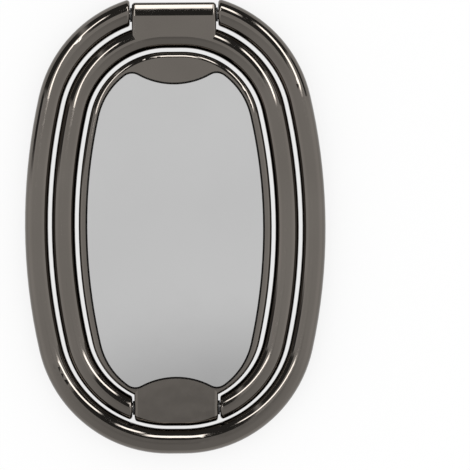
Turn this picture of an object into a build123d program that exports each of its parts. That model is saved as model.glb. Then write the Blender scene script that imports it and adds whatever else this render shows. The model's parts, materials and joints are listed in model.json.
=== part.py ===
from build123d import *

import math
import os

# Folding phone ring holder: two split oval rings nested round an oval plate with a mirror.
# Millimetres. The origin is on the bond face of the back disc, on the swivel axis.
# +Z points away from the phone, +Y from the lower hinge to the upper one.
# An oval is given by three reaches from the swivel axis: to its side, head (+Y) and foot (-Y).

# Heights
DISC_THICKNESS = 1.0
SWIVEL_GAP = 0.1
METAL_THICKNESS = 3.2

# Ovals: reaches of the plate, and the gaps and bars outside it
PLATE_SIDE = 13.85
PLATE_HEAD = 25.05
PLATE_FOOT = 25.25
MIDDLE_GAP = 0.52
MIDDLE_GAP_FOOT = 0.3
MIDDLE_BAR_SIDE = 3.38
MIDDLE_BAR_HEAD = 3.6
MIDDLE_BAR_FOOT = 3.2
OUTER_GAP = 0.48
OUTER_GAP_FOOT = 0.26
OUTER_BAR_SIDE = 3.35
OUTER_BAR_HEAD = 3.75
OUTER_BAR_FOOT = 3.6
END_FLAT = 1.1
SIDE_ARC_ANGLE = math.radians(12.7)

# Rounded edges
RING_TOP_ROUND = 1.6
RING_UNDER_ROUND = 1.4
RING_END_ROUND = 0.4
PLATE_TOP_ROUND = 0.85
PLATE_UNDER_ROUND = 0.8
TAB_EDGE_ROUND = 0.5

# Hinges
UPPER_PIN_OFFSET = 1.2
UPPER_TAB_WIDTH = 12.1
UPPER_TAB_REACH = 1.73
UPPER_TAB_CROWN = 5.9
UPPER_TAB_CROWN_LEAD = 0.17
LOWER_TAB_WIDTH = 12.0
LOWER_TAB_GAP = 0.36
LOWER_TAB_LIP = 0.243
HINGE_SLIT = 0.3
PIN_DIAMETER = 1.5
PIN_GRIP = 2.0
SLEEVE_WALL = 0.25
SLEEVE_END_GAP = 0.05
RUNNING_CLEARANCE = 0.02
SEAT_CLEARANCE = 0.01

# Mirror and its pocket
MIRROR_SIDE = 12.66
MIRROR_HEAD = 23.65
MIRROR_FOOT = 24.6
MIRROR_LOBE_RADIUS = 10.6
MIRROR_LOBE_HEAD = 20.4
MIRROR_LOBE_FOOT = 21.62
MIRROR_HORN_ROUND = 1.8
MIRROR_THICKNESS = 0.8
MIRROR_BEVEL = 0.08
MIRROR_SINK = 0.1
POCKET_CLEARANCE = 0.2
TAPE_THICKNESS = 0.15

# Swivel
DISC_DIAMETER = 26.0
DISC_EDGE_ROUND = 0.3
RIVET_SHANK = 3.0
RIVET_HEAD = 5.6
RIVET_HEAD_THICKNESS = 0.5
RIVET_TAIL = 4.4
RIVET_TAIL_DEPTH = 0.7
HEAD_RECESS = 6.6
HEAD_RECESS_SPARE = 0.1
SPRING_DIAMETER = 6.0
SPRING_SHEET = 0.25
SPRING_RISE = 0.2
WASHER_DIAMETER = 12.0
WASHER_THICKNESS = 0.6

# Levels worked out from the heights
UNDERSIDE = DISC_THICKNESS + SWIVEL_GAP
TOP = UNDERSIDE + METAL_THICKNESS
PIN_Z = UNDERSIDE + METAL_THICKNESS / 2
MIRROR_BACK = TOP - MIRROR_SINK - MIRROR_THICKNESS
POCKET_FLOOR = MIRROR_BACK - TAPE_THICKNESS
RIVET_HEAD_TOP = POCKET_FLOOR - HEAD_RECESS_SPARE
SPRING_TOP = RIVET_HEAD_TOP - RIVET_HEAD_THICKNESS
SPRING_SEAT = SPRING_TOP - SPRING_SHEET - SPRING_RISE
WASHER_SEAT = DISC_THICKNESS + WASHER_THICKNESS

# Reaches worked out from the plate outwards: side, head and foot
PLATE = Vector(PLATE_SIDE, PLATE_HEAD, PLATE_FOOT)
MIDDLE_INSIDE = PLATE + Vector(MIDDLE_GAP, MIDDLE_GAP, MIDDLE_GAP_FOOT)
MIDDLE_OUTSIDE = MIDDLE_INSIDE + Vector(MIDDLE_BAR_SIDE, MIDDLE_BAR_HEAD, MIDDLE_BAR_FOOT)
OUTER_INSIDE = MIDDLE_OUTSIDE + Vector(OUTER_GAP, OUTER_GAP, OUTER_GAP_FOOT)
OUTER_OUTSIDE = OUTER_INSIDE + Vector(OUTER_BAR_SIDE, OUTER_BAR_HEAD, OUTER_BAR_FOOT)
LOWER_TAB_LIMIT = OUTER_INSIDE - Vector(LOWER_TAB_GAP, LOWER_TAB_GAP, LOWER_TAB_GAP)


def shoulder_radius(side, reach):
    """Radius of an oval's shoulder arc, which meets the side arc and the straight end smoothly."""
    sine = math.sin(SIDE_ARC_ANGLE)
    cosine = math.cos(SIDE_ARC_ANGLE)
    lean = (1 - cosine) / sine
    return (side - END_FLAT - lean * reach) / (cosine - lean * (1 - sine))


def reach_beside(side, reach, across):
    """How far an oval's end reaches at a distance across from its middle."""
    radius = shoulder_radius(side, reach)
    return reach - radius + math.sqrt(radius**2 - (across - END_FLAT) ** 2)


# Hinge places and sizes worked out from the ovals, tabs and pins
LOWER_TAB_CORNER = reach_beside(LOWER_TAB_LIMIT.X, LOWER_TAB_LIMIT.Z, LOWER_TAB_WIDTH / 2)
UPPER_PIN_Y = MIDDLE_OUTSIDE.Y + UPPER_PIN_OFFSET
LOWER_PIN_Y = METAL_THICKNESS / 2 + LOWER_TAB_LIP - LOWER_TAB_CORNER
UPPER_SLIT = UPPER_TAB_WIDTH + 2 * HINGE_SLIT
LOWER_SLIT = LOWER_TAB_WIDTH + 2 * HINGE_SLIT
SLEEVE_BORE = PIN_DIAMETER + 2 * RUNNING_CLEARANCE
SLEEVE_DIAMETER = SLEEVE_BORE + 2 * SLEEVE_WALL
SAME = 0.001


def oval_end(side, reach, sign):
    """The arcs of an oval's head (sign 1) or foot (sign -1): two at +X and two at -X."""
    shoulder = shoulder_radius(side, reach)
    sine = math.sin(SIDE_ARC_ANGLE)
    side_radius = (reach - shoulder * (1 - sine)) / sine

    def on_side(angle):
        return (side - side_radius * (1 - math.cos(angle)), sign * side_radius * math.sin(angle))

    def on_shoulder(angle):
        height = reach - shoulder * (1 - math.sin(angle))
        return (END_FLAT + shoulder * math.cos(angle), sign * height)

    turn = on_side(SIDE_ARC_ANGLE)
    right = [
        ThreePointArc((side, 0), on_side(SIDE_ARC_ANGLE / 2), turn),
        ThreePointArc(turn, on_shoulder((SIDE_ARC_ANGLE + math.pi / 2) / 2), (END_FLAT, sign * reach)),
    ]
    return right + [arc.mirror(Plane.YZ) for arc in right]


def oval_flat(reach, sign):
    """The short straight stretch at an oval's head or foot."""
    return Line((END_FLAT, sign * reach), (-END_FLAT, sign * reach))


def oval(side, head, foot):
    """A smooth egg-shaped face of straight ends, shoulder arcs and long side arcs."""
    ends = oval_end(side, head, 1) + oval_end(side, foot, -1)
    return Face(Wire(ends + [oval_flat(head, 1), oval_flat(foot, -1)]))


def upright(face, bottom, top):
    """A solid that stands on an outline, between two heights."""
    return Solid.extrude(face.moved(Pos(0, 0, bottom)), Vector(0, 0, top - bottom))


def on_slit(item, slit):
    """True for an edge or face that lies in one of the two walls of a slit."""
    box = item.bounding_box()
    return box.size.X < SAME and abs(abs(box.center().X) - slit / 2) < SAME


def split_ring(outside, inside, slit, sign):
    """A domed oval ring, slit open at its head (sign 1) or foot (sign -1), with rounded ends."""
    reach = outside.Y + outside.Z
    opening = Pos(0, sign * reach / 2) * Rectangle(slit, reach)
    ring = upright((oval(*outside) - oval(*inside) - opening).face(), UNDERSIDE, TOP)
    for level, radius in ((TOP, RING_TOP_ROUND), (UNDERSIDE, RING_UNDER_ROUND)):
        edges = ring.edges().filter_by_position(Axis.Z, level - SAME, level + SAME)
        ring = ring.fillet(radius, [edge for edge in edges if not on_slit(edge, slit)])
    ends = [face for face in ring.faces() if on_slit(face, slit)]
    return ring.fillet(RING_END_ROUND, [edge for face in ends for edge in face.edges()])


def hinge_rod(diameter, length, pin_y):
    """A rod along X on a hinge's axis."""
    return Pos(0, pin_y, PIN_Z) * Rot(0, 90, 0) * Cylinder(diameter / 2, length)


def tab_root(width, root_y, end_y):
    """The full-height block of a tab, from inside the plate or ring to where its end begins."""
    plan = Pos(0, (root_y + end_y) / 2) * Rectangle(width, abs(end_y - root_y))
    return upright(plan.face(), UNDERSIDE, TOP)


def rounded_tab(tab, root_y):
    """A tab with its rims rounded, all but those at its root."""
    side_rims = tab.faces().filter_by(Axis.X).edges()
    end_rims = tab.faces().filter_by(Axis.Y).edges().filter_by(Axis.X)
    rims = [edge for edge in side_rims + end_rims if abs(edge.center().Y - root_y) > SAME]
    return fillet(rims, TAB_EDGE_ROUND)


def upper_tab(root_y):
    """The middle ring's tab: a gentle crown over the pin, cut off by an upright wall."""
    crown_y = UPPER_PIN_Y - UPPER_TAB_CROWN_LEAD
    end_y = UPPER_PIN_Y + UPPER_TAB_REACH
    middle = ((crown_y + end_y) / 2, (UNDERSIDE + TOP) / 2)
    side_view = Pos(*middle) * Rectangle(end_y - crown_y, METAL_THICKNESS)
    side_view &= Pos(crown_y, TOP - UPPER_TAB_CROWN) * Circle(UPPER_TAB_CROWN)
    end = extrude(Plane.YZ * side_view, UPPER_TAB_WIDTH / 2, both=True)
    return rounded_tab(tab_root(UPPER_TAB_WIDTH, root_y, crown_y) + end, root_y)


def lower_tab(root_y):
    """The plate's tab: its end is turned about the pin, to clear the outer ring as it swings."""
    reach = LOWER_TAB_LIMIT.Z + LOWER_PIN_Y
    beyond = Pos(0, LOWER_PIN_Y - reach / 2) * Rectangle(LOWER_TAB_WIDTH, reach)
    plan = Pos(0, 0, PIN_Z) * (beyond & oval(*LOWER_TAB_LIMIT))
    end = revolve(plan, Axis((0, LOWER_PIN_Y, PIN_Z), (1, 0, 0)))
    end &= upright(beyond.face(), UNDERSIDE, TOP)
    return rounded_tab(tab_root(LOWER_TAB_WIDTH, root_y, LOWER_PIN_Y) + end, root_y)


def sleeve_hole(tab_width, pin_y):
    """The hole through a tab for its friction sleeve."""
    return hinge_rod(SLEEVE_DIAMETER + 2 * SEAT_CLEARANCE, tab_width, pin_y)


def hinge_pin(slit, pin_y, clearance=0.0):
    """A pin that reaches into both ends of a ring, or with clearance the room that it takes."""
    return hinge_rod(PIN_DIAMETER + 2 * clearance, slit + 2 * (PIN_GRIP + clearance), pin_y)


def hinge_sleeve(slit, pin_y):
    """A friction sleeve through a tab, which also stands in the slits and keeps the metal apart."""
    length = slit - 2 * SLEEVE_END_GAP
    return hinge_rod(SLEEVE_DIAMETER, length, pin_y) - hinge_rod(SLEEVE_BORE, length, pin_y)


def middle_ring():
    ring = split_ring(MIDDLE_OUTSIDE, MIDDLE_INSIDE, LOWER_SLIT, -1)
    crest = (MIDDLE_INSIDE + MIDDLE_OUTSIDE) * 0.5
    ring += upper_tab(0.0) - upright(oval(*crest), UNDERSIDE, TOP)
    ring -= sleeve_hole(UPPER_TAB_WIDTH, UPPER_PIN_Y)
    return ring - hinge_pin(LOWER_SLIT, LOWER_PIN_Y, SEAT_CLEARANCE)


def outer_ring():
    ring = split_ring(OUTER_OUTSIDE, OUTER_INSIDE, UPPER_SLIT, 1)
    return ring - hinge_pin(UPPER_SLIT, UPPER_PIN_Y, SEAT_CLEARANCE)


def mirror_outline(grow):
    """The mirror's oval with a round bite at head and foot, larger all round by grow."""
    centres = (MIRROR_LOBE_HEAD + MIRROR_LOBE_RADIUS, -MIRROR_LOBE_FOOT - MIRROR_LOBE_RADIUS)
    bite = MIRROR_LOBE_RADIUS - grow
    face = oval(MIRROR_SIDE + grow, MIRROR_HEAD + grow, MIRROR_FOOT + grow)
    for centre in centres:
        face = (face - Pos(0, centre) * Circle(bite)).face()
    horns = [
        vertex
        for vertex in face.vertices()
        for centre in centres
        if abs(math.hypot(vertex.X, vertex.Y - centre) - bite) < SAME
    ]
    return face.fillet_2d(MIRROR_HORN_ROUND + grow, horns)


def disc(diameter, bottom, top):
    """A round solid on the swivel axis, between two heights."""
    return Pos(0, 0, (bottom + top) / 2) * Cylinder(diameter / 2, top - bottom)


def base_plate():
    plate = upright(oval(*PLATE), UNDERSIDE, TOP)
    plate = plate.fillet(PLATE_TOP_ROUND, plate.faces().sort_by(Axis.Z)[-1].edges())
    plate = plate.fillet(PLATE_UNDER_ROUND, plate.faces().sort_by(Axis.Z)[0].edges())
    root_y = -(MIRROR_LOBE_FOOT + PLATE_FOOT) / 2
    plate += lower_tab(root_y)
    plate -= sleeve_hole(LOWER_TAB_WIDTH, LOWER_PIN_Y)
    plate -= upright(mirror_outline(POCKET_CLEARANCE), POCKET_FLOOR, TOP)
    plate -= disc(HEAD_RECESS, SPRING_SEAT, POCKET_FLOOR)
    plate -= disc(WASHER_DIAMETER + 2 * SEAT_CLEARANCE, UNDERSIDE, WASHER_SEAT)
    return plate - disc(RIVET_SHANK + 2 * RUNNING_CLEARANCE, UNDERSIDE, SPRING_SEAT)


def mirror_panel():
    panel = upright(mirror_outline(0.0), MIRROR_BACK, TOP - MIRROR_SINK)
    return panel.chamfer(MIRROR_BEVEL, None, panel.faces().sort_by(Axis.Z)[-1].edges())


def mirror_tape():
    """Black tape that covers the pocket's floor, also in the groove round the mirror."""
    return upright(mirror_outline(POCKET_CLEARANCE - SEAT_CLEARANCE), POCKET_FLOOR, MIRROR_BACK)


def turned(*points):
    """A solid turned about the swivel axis from points given as radius and height."""
    profile = Plane.XZ * make_face(Polyline(*points, close=True))
    return revolve(profile, Axis.Z)


def rivet_tail(grow):
    """The swivel rivet's tail, swaged into an undercut in the disc, larger all round by grow."""
    neck = RIVET_SHANK / 2 + grow
    tail = RIVET_TAIL / 2 + grow
    floor = DISC_THICKNESS - RIVET_TAIL_DEPTH - grow
    return turned((0, floor), (tail, floor), (neck, DISC_THICKNESS), (0, DISC_THICKNESS))


def swivel_rivet():
    shank = disc(RIVET_SHANK, DISC_THICKNESS, SPRING_TOP)
    return rivet_tail(0.0) + shank + disc(RIVET_HEAD, SPRING_TOP, RIVET_HEAD_TOP)


def swivel_disc():
    plate = disc(DISC_DIAMETER, 0, DISC_THICKNESS)
    plate = fillet(plate.edges().sort_by(Axis.Z)[-1], DISC_EDGE_ROUND)
    return plate - rivet_tail(SEAT_CLEARANCE)


def swivel_washer():
    bore = disc(RIVET_SHANK + 2 * RUNNING_CLEARANCE, DISC_THICKNESS, WASHER_SEAT)
    return disc(WASHER_DIAMETER, DISC_THICKNESS, WASHER_SEAT) - bore


def spring_washer():
    """A conical spring: its rim rests on the plate and its bore bears on the rivet's head."""
    bore = RIVET_SHANK / 2 + RUNNING_CLEARANCE
    rim = SPRING_DIAMETER / 2
    return turned(
        (bore, SPRING_SEAT + SPRING_RISE),
        (rim, SPRING_SEAT),
        (rim, SPRING_SEAT + SPRING_SHEET),
        (bore, SPRING_TOP),
    )


PIECES = {
    "base_plate": base_plate(),
    "mirror_panel": mirror_panel(),
    "mirror_tape": mirror_tape(),
    "middle_ring": middle_ring(),
    "outer_ring": outer_ring(),
    "lower_hinge_pin": hinge_pin(LOWER_SLIT, LOWER_PIN_Y),
    "lower_hinge_sleeve": hinge_sleeve(LOWER_SLIT, LOWER_PIN_Y),
    "upper_hinge_pin": hinge_pin(UPPER_SLIT, UPPER_PIN_Y),
    "upper_hinge_sleeve": hinge_sleeve(UPPER_SLIT, UPPER_PIN_Y),
    "swivel_disc": swivel_disc(),
    "swivel_rivet": swivel_rivet(),
    "swivel_washer": swivel_washer(),
    "spring_washer": spring_washer(),
}

os.makedirs("parts", exist_ok=True)
for name, shape in PIECES.items():
    export_step(shape, f"parts/{name}.step")
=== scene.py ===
import json
import math

import bpy
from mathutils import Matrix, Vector

# Looks of the folding phone ring holder. Metres, in the frame of the CAD model:
# +Z away from the phone, +Y from the lower hinge to the upper one.

# Camera: straight above, far off through a long lens, turned a little as in the photograph
VIEW_WIDTH = 0.06741
VIEW_CENTRE = Vector((0.00856, -0.00129, 0.003))
VIEW_ROLL = math.radians(0.35)
LENS = 500.0
SENSOR = 36.0
NEAREST_SEEN = 0.01

# Floor: just under the bond face; its own colour, and how bright it is where it is looked at
FLOOR_SIZE = 6.0
FLOOR_HEIGHT = -0.00005
FLOOR_COLOR = (0.22, 0.22, 0.22, 1)
FLOOR_GLOW = 0.78

# Studio as the polished metal sees it. A patch is given in degrees: bearings from +Y towards +X,
# from and to, then tilts from straight up, from and to. The ceiling is 1 bright, apart from these.
# The light patches slant: their tilts are those at bearing 0, and get less to both sides.
DARK_LEVEL = 0.1
DARK_PATCHES = ((-42, 58, 4, 125), (-76, -40, 38, 125), (-86, -70, 60, 125), (54, 78, 66, 125))
LIGHT_LEVEL = 8.5
LIGHT_PATCHES = ((-15, 13, 21, 44), (10, 28, 40, 60), (34, 74, 60, 79), (-75, -27, 46, 58))
LIGHT_SLANT = 0.5
BEARING_BLUR = 5.0
TILT_BLUR = 3.0

# Slow changes of the ceiling: dimmer towards the foot, most of all near straight up, and brighter
# far out to both sides. A lean is the part of a direction of length 1 along +Y, or across it.
FOOT_DIMMING = 0.45
FOOT_DIM_LEANS = (-0.0295, -0.008)
FOOT_DIM_FADE = 0.7
FOOT_DIM_FADE_LEANS = (-0.5, -0.1)
SIDE_BRIGHTENING = 0.15
SIDE_BRIGHT_LEANS = (0.6, 0.95)


def new_material(name):
    """A node material, with its tree and its main shader."""
    material = bpy.data.materials.new(name)
    material.use_nodes = True
    tree = material.node_tree
    return material, tree, tree.nodes["Principled BSDF"]


def node(tree, kind, **values):
    """A new shader node, with named inputs set."""
    made = tree.nodes.new(kind)
    for name, value in values.items():
        made.inputs[name].default_value = value
    return made


def math_node(tree, operation, first, second=None):
    """A math node of two sockets or numbers; gives its output."""
    made = tree.nodes.new("ShaderNodeMath")
    made.operation = operation
    for socket, value in zip(made.inputs, (first, second)):
        if isinstance(value, (int, float)):
            socket.default_value = value
        elif value is not None:
            tree.links.new(value, socket)
    return made.outputs[0]


def between(tree, value, low, high, low_result=0.0, high_result=1.0):
    """A smooth step from one result to another as the value goes from low to high."""
    made = tree.nodes.new("ShaderNodeMapRange")
    made.interpolation_type = "SMOOTHSTEP"
    made.inputs["From Min"].default_value = low
    made.inputs["From Max"].default_value = high
    made.inputs["To Min"].default_value = low_result
    made.inputs["To Max"].default_value = high_result
    tree.links.new(value, made.inputs["Value"])
    return made.outputs["Result"]


def noise(tree, scale, detail=2.0, stretch=(1, 1, 1)):
    """Noise over the object's own coordinates, with about scale lumps a metre."""
    place = tree.nodes.new("ShaderNodeTexCoord")
    mapping = tree.nodes.new("ShaderNodeMapping")
    mapping.inputs["Scale"].default_value = stretch
    made = node(tree, "ShaderNodeTexNoise", Scale=scale, Detail=detail)
    tree.links.new(place.outputs["Object"], mapping.inputs["Vector"])
    tree.links.new(mapping.outputs["Vector"], made.inputs["Vector"])
    return made.outputs["Fac"]


def tint(tree, shader, pattern, dark, light):
    """Lets the base colour drift between two tones."""
    ramp = tree.nodes.new("ShaderNodeValToRGB")
    for element, position, tone in zip(ramp.color_ramp.elements, (0.3, 0.7), (dark, light)):
        element.position = position
        element.color = (*tone, 1)
    tree.links.new(pattern, ramp.inputs["Fac"])
    tree.links.new(ramp.outputs["Color"], shader.inputs["Base Color"])


def roughen(tree, shader, pattern, smooth, rough, low=0.3, high=0.7):
    """Lets the roughness drift between two values, as the pattern goes from low to high."""
    tree.links.new(between(tree, pattern, low, high, smooth, rough), shader.inputs["Roughness"])


def bump(tree, shader, height, strength, distance):
    """Makes the surface look a little uneven, by a pattern of heights."""
    made = node(tree, "ShaderNodeBump", Strength=strength, Distance=distance)
    tree.links.new(height, made.inputs["Height"])
    tree.links.new(made.outputs["Normal"], shader.inputs["Normal"])


def polished_black_metal():
    """Black nickel plate, polished over a cast that is a little wavy."""
    material, tree, shader = new_material("polished_black_metal")
    shader.inputs["Metallic"].default_value = 1.0
    tint(tree, shader, noise(tree, 90), dark=(0.134, 0.121, 0.108), light=(0.148, 0.134, 0.12))
    roughen(tree, shader, noise(tree, 700, 4), smooth=0.05, rough=0.085, low=0.35, high=0.75)
    bump(tree, shader, noise(tree, 420, 1), strength=0.03, distance=0.0001)
    return material


def mirror_sheet():
    """A polished mirror with a faint haze."""
    material, tree, shader = new_material("mirror_sheet")
    shader.inputs["Metallic"].default_value = 1.0
    tint(tree, shader, noise(tree, 60, 3), dark=(0.51, 0.51, 0.51), light=(0.535, 0.535, 0.535))
    roughen(tree, shader, noise(tree, 250, 4), smooth=0.02, rough=0.05, low=0.3, high=0.8)
    return material


def brushed_steel(name, tone, stretch):
    """Satin steel with fine lines drawn out along one direction."""
    material, tree, shader = new_material(name)
    shader.inputs["Metallic"].default_value = 1.0
    lines = noise(tree, 2500, 3, stretch)
    tint(tree, shader, lines, dark=(0.85 * tone,) * 3, light=(tone, tone, 0.98 * tone))
    roughen(tree, shader, lines, smooth=0.22, rough=0.36)
    bump(tree, shader, lines, strength=0.15, distance=0.00002)
    return material


def nylon():
    """Black moulded plastic, a little glossy."""
    material, tree, shader = new_material("nylon")
    tint(tree, shader, noise(tree, 900, 3), dark=(0.025, 0.025, 0.026), light=(0.04, 0.04, 0.041))
    roughen(tree, shader, noise(tree, 4000), smooth=0.42, rough=0.55)
    bump(tree, shader, noise(tree, 4000), strength=0.1, distance=0.00002)
    return material


def adhesive_tape():
    """Matte black foam tape."""
    material, tree, shader = new_material("adhesive_tape")
    tint(tree, shader, noise(tree, 1500, 4), dark=(0.012, 0.012, 0.012), light=(0.022, 0.022, 0.022))
    roughen(tree, shader, noise(tree, 3000), smooth=0.7, rough=0.9)
    bump(tree, shader, noise(tree, 3000), strength=0.3, distance=0.00003)
    return material


def seen_directly(tree):
    """1 for rays from the camera or by way of metal and glass, 0 for the light on the object."""
    path = tree.nodes.new("ShaderNodeLightPath")
    camera = math_node(tree, "MAXIMUM", path.outputs["Is Camera Ray"], path.outputs["Is Glossy Ray"])
    return math_node(tree, "MAXIMUM", camera, path.outputs["Is Transmission Ray"])


def floor_material():
    """White where it is looked at, with the object's soft shadow kept."""
    material, tree, shader = new_material("floor")
    shader.inputs["Base Color"].default_value = FLOOR_COLOR
    shader.inputs["Roughness"].default_value = 1.0
    shader.inputs["Specular IOR Level"].default_value = 0.0
    shader.inputs["Emission Color"].default_value = (1, 1, 1, 1)
    glow = math_node(tree, "MULTIPLY", seen_directly(tree), FLOOR_GLOW)
    tree.links.new(glow, shader.inputs["Emission Strength"])
    return material


def make_floor():
    """A wide pale floor, outside the part."""
    bpy.ops.mesh.primitive_plane_add(size=FLOOR_SIZE, location=(0, 0, FLOOR_HEIGHT))
    floor = bpy.context.object
    floor.name = "floor"
    floor.data.materials.append(floor_material())


def patch(tree, bearing, tilt, limits):
    """1 inside a patch of the studio and 0 outside it, with soft edges."""
    inside = 1.0
    for angle, low, high, blur in ((bearing, *limits[:2], BEARING_BLUR), (tilt, *limits[2:], TILT_BLUR)):
        rising = between(tree, angle, low, low + blur)
        falling = between(tree, angle, high - blur, high, 1.0, 0.0)
        inside = math_node(tree, "MULTIPLY", math_node(tree, "MULTIPLY", rising, falling), inside)
    return inside


def patches(tree, bearing, tilt, all_limits):
    """1 inside any of several patches."""
    inside = 0.0
    for limits in all_limits:
        inside = math_node(tree, "MAXIMUM", patch(tree, bearing, tilt, limits), inside)
    return inside


def ceiling(tree, across, along):
    """The bright ceiling's level, with its slow changes towards the foot and the sides."""
    across_square = math_node(tree, "MULTIPLY", across, across)
    along_square = math_node(tree, "MULTIPLY", along, along)
    both = math_node(tree, "ADD", across_square, along_square)
    share = math_node(tree, "DIVIDE", along_square, both)
    dimming = math_node(tree, "MULTIPLY", between(tree, along, *FOOT_DIM_LEANS, FOOT_DIMMING, 0.0), share)
    fade = between(tree, along, *FOOT_DIM_FADE_LEANS, FOOT_DIM_FADE, 1.0)
    dimming = math_node(tree, "MULTIPLY", dimming, fade)
    sideways = math_node(tree, "ABSOLUTE", across)
    brightening = between(tree, sideways, *SIDE_BRIGHT_LEANS, 1.0, 1.0 + SIDE_BRIGHTENING)
    return math_node(tree, "SUBTRACT", brightening, dimming)


def make_world():
    """An even bright studio; polished metal also sees its dark and light patches."""
    world = bpy.data.worlds.new("studio")
    bpy.context.scene.world = world
    world.use_nodes = True
    tree = world.node_tree
    direction = tree.nodes.new("ShaderNodeTexCoord")
    axes = tree.nodes.new("ShaderNodeSeparateXYZ")
    tree.links.new(direction.outputs["Generated"], axes.inputs["Vector"])
    across, along, up = axes.outputs
    bearing = math_node(tree, "DEGREES", math_node(tree, "ARCTAN2", across, along))
    tilt = math_node(tree, "DEGREES", math_node(tree, "ARCCOSINE", up))

    dark = patches(tree, bearing, tilt, DARK_PATCHES)
    slant = math_node(tree, "MULTIPLY", math_node(tree, "ABSOLUTE", bearing), LIGHT_SLANT)
    light = patches(tree, bearing, math_node(tree, "ADD", tilt, slant), LIGHT_PATCHES)
    lit = math_node(tree, "SUBTRACT", 1.0, dark)
    studio = math_node(tree, "MULTIPLY", ceiling(tree, across, along), lit)
    studio = math_node(tree, "ADD", studio, math_node(tree, "MULTIPLY", dark, DARK_LEVEL))
    studio = math_node(tree, "ADD", studio, math_node(tree, "MULTIPLY", light, LIGHT_LEVEL))

    path = tree.nodes.new("ShaderNodeLightPath")
    mix = tree.nodes.new("ShaderNodeMix")
    mix.inputs["A"].default_value = 1.0
    tree.links.new(path.outputs["Is Glossy Ray"], mix.inputs["Factor"])
    tree.links.new(studio, mix.inputs["B"])
    background = tree.nodes["Background"]
    background.inputs["Color"].default_value = (1, 1, 1, 1)
    tree.links.new(mix.outputs["Result"], background.inputs["Strength"])


def make_camera():
    """A camera straight above, that shows VIEW_WIDTH across the picture."""
    data = bpy.data.cameras.new("camera")
    data.lens = LENS
    data.sensor_width = SENSOR
    data.clip_start = NEAREST_SEEN
    camera = bpy.data.objects.new("camera", data)
    camera.location = VIEW_CENTRE + Vector((0, 0, VIEW_WIDTH * LENS / SENSOR))
    camera.rotation_euler = (0, 0, -VIEW_ROLL)
    bpy.context.scene.collection.objects.link(camera)
    bpy.context.scene.camera = camera


def dress(frame):
    """Gives each CAD node its material, by the slot that the record names."""
    materials = {
        "polished_black_metal": polished_black_metal(),
        "mirror_sheet": mirror_sheet(),
        "adhesive_tape": adhesive_tape(),
        "bright_steel": brushed_steel("bright_steel", tone=0.5, stretch=(0.05, 1, 1)),
        "nylon": nylon(),
        "disc_steel": brushed_steel("disc_steel", tone=0.45, stretch=(1, 0.04, 1)),
    }
    for subpart in frame["record"]["subparts"]:
        piece = frame["nodes"][subpart["node"]]
        piece.data.materials.clear()
        piece.data.materials.append(materials[subpart["material_slot"]])


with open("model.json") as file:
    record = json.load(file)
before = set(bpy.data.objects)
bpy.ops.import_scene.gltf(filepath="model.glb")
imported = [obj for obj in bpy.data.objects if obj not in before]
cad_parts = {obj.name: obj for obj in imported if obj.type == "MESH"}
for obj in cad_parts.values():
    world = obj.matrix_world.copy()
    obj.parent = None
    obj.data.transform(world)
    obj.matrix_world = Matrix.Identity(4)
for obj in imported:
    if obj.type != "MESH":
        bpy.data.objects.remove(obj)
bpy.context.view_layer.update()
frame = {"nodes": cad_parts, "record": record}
bpy.context.scene.view_settings.view_transform = "Standard"
make_camera()
make_floor()
make_world()
dress(frame)
